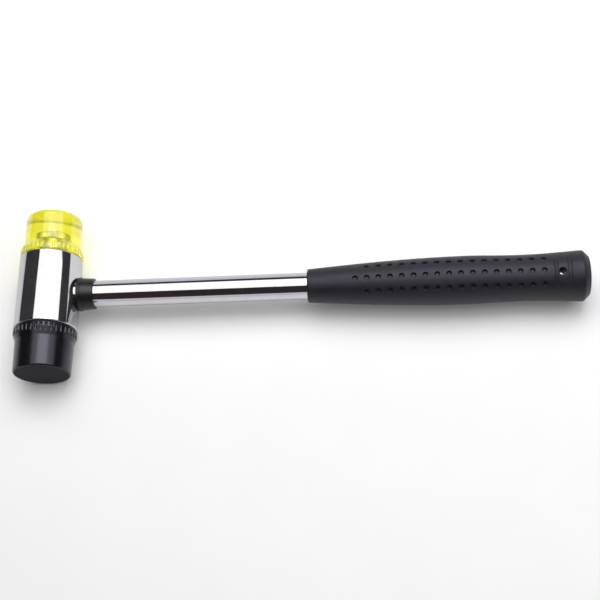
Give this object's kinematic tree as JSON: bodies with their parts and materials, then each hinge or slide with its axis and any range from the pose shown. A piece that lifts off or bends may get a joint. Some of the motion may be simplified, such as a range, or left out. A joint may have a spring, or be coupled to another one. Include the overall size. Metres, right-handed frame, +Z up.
{
  "type": "soft face hammer",
  "caption": "Small hammer with a chromed round head on a steel tube, a clear hard plastic face and a black rubber face that unscrew, and a dimpled rubber grip.",
  "frame": {"origin": "under the middle of the hammer as it lies on its side, on the surface it lies on", "axes": "+X along the handle to the end of the grip, +Y along the head to the hard face, +Z up"},
  "size_m": [0.2692, 0.08, 0.03],
  "materials": {
    "chrome": "bright chrome plate",
    "pin_steel": "hardened spring steel",
    "stud_steel": "zinc plate",
    "collar_plastic": "semi-gloss black",
    "grip_rubber": "satin charcoal",
    "clear_plastic": "clear yellow, polished",
    "face_rubber": "satin black"
  },
  "bodies": {
    "handle_assembly": {"head_body": "chrome", "handle_tube": "chrome", "handle_pin": "pin_steel", "neck_collar": "collar_plastic", "grip": "grip_rubber"},
    "hard_stud": {"hard_face_stud": "stud_steel"},
    "hard_cap": {"hard_face": "clear_plastic"},
    "soft_stud": {"soft_face_stud": "stud_steel"},
    "soft_cap": {"soft_face": "face_rubber"}
  },
  "joints": [
    {"name": "hard_face_travel", "type": "slide", "parent": "handle_assembly", "child": "hard_stud", "axis": [0, 1, 0], "range_m": [0, 0.01005]},
    {"name": "hard_face_turn", "type": "hinge", "parent": "hard_stud", "child": "hard_cap", "pos_m": [-0.1196, 0.01825, 0.015], "axis": [0, 1, 0], "range_deg": [0, 2880]},
    {"name": "soft_face_travel", "type": "slide", "parent": "handle_assembly", "child": "soft_stud", "axis": [0, -1, 0], "range_m": [0, 0.01005]},
    {"name": "soft_face_turn", "type": "hinge", "parent": "soft_stud", "child": "soft_cap", "pos_m": [-0.1196, -0.01825, 0.015], "axis": [0, -1, 0], "range_deg": [0, 2880]}
  ],
  "couplings": [
    {"joint": "hard_face_travel", "follows": "hard_face_turn", "m_per_rad": 0.00019894},
    {"joint": "soft_face_travel", "follows": "soft_face_turn", "m_per_rad": 0.00019894}
  ]
}
